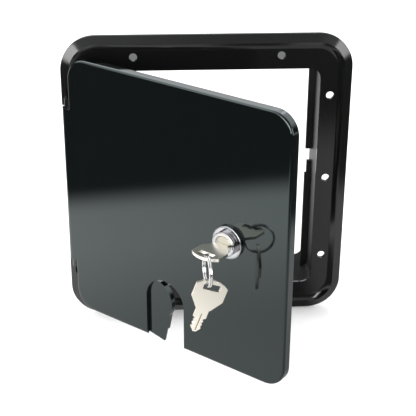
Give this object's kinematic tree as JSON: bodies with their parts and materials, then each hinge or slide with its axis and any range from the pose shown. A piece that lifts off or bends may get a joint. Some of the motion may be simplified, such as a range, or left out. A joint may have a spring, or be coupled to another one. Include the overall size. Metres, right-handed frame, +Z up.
{
  "type": "power cord hatch",
  "caption": "Rectangular wall hatch for a power cord: a rounded bezel with a wall collar, a hinged door with a keyed cam lock, keys on a split ring, and a swinging flap over the cord notch.",
  "frame": {"origin": "on the wall face (the back) of the bezel's flange, in the middle of its lower strip", "axes": "+Z up, -Y out of the wall towards the person who opens the door, +X to the right as that person sees it, away from the hinge"},
  "size_m": [0.19, 0.1675, 0.203],
  "materials": {
    "frame_plastic": "gloss black ABS",
    "door_plastic": "gloss black ABS",
    "lock_chrome": "bright chrome",
    "plug_metal": "nickel",
    "cam_steel": "zinc plated",
    "pin_steel": "plain",
    "key_metal": "nickel plated, satin",
    "ring_steel": "bright"
  },
  "bodies": {
    "frame": {"bezel_frame": "frame_plastic", "hinge_pin": "pin_steel"},
    "door": {"door_panel": "door_plastic", "lock_body": "lock_chrome", "lock_nut": "lock_chrome", "flap_pin": "pin_steel"},
    "plug": {"lock_plug": "plug_metal", "lock_cam": "cam_steel", "cam_screw": "pin_steel", "lock_key": "key_metal"},
    "ring": {"key_ring": "ring_steel"},
    "spare": {"spare_key": "key_metal"},
    "flap": {"cord_flap": "door_plastic"}
  },
  "joints": [
    {"name": "door_hinge", "type": "hinge", "parent": "frame", "child": "door", "pos_m": [-0.0904, -0.0046, 0.08615], "axis": [0, 0, -1], "range_deg": [-40.9, 89.1]},
    {"name": "plug_turn", "type": "hinge", "parent": "door", "child": "plug", "pos_m": [0.00353, -0.09946, 0.08615], "axis": [-0.6547, -0.7559, 0], "range_deg": [0, 90]},
    {"name": "ring_swing", "type": "hinge", "parent": "plug", "child": "ring", "pos_m": [-0.00766, -0.1116, 0.08615], "axis": [-0.9874, -0.1582, 0], "range_deg": [0, 20]},
    {"name": "spare_swing", "type": "hinge", "parent": "ring", "child": "spare", "pos_m": [-0.00671, -0.11753, 0.06964], "axis": [0.1582, -0.9874, 0], "range_deg": [-20, 20]},
    {"name": "flap_swing", "type": "hinge", "parent": "door", "child": "flap", "pos_m": [-0.04567, -0.04903, 0.09265], "axis": [-0.6547, -0.7559, 0], "range_deg": [-18.5, 11.5]}
  ]
}
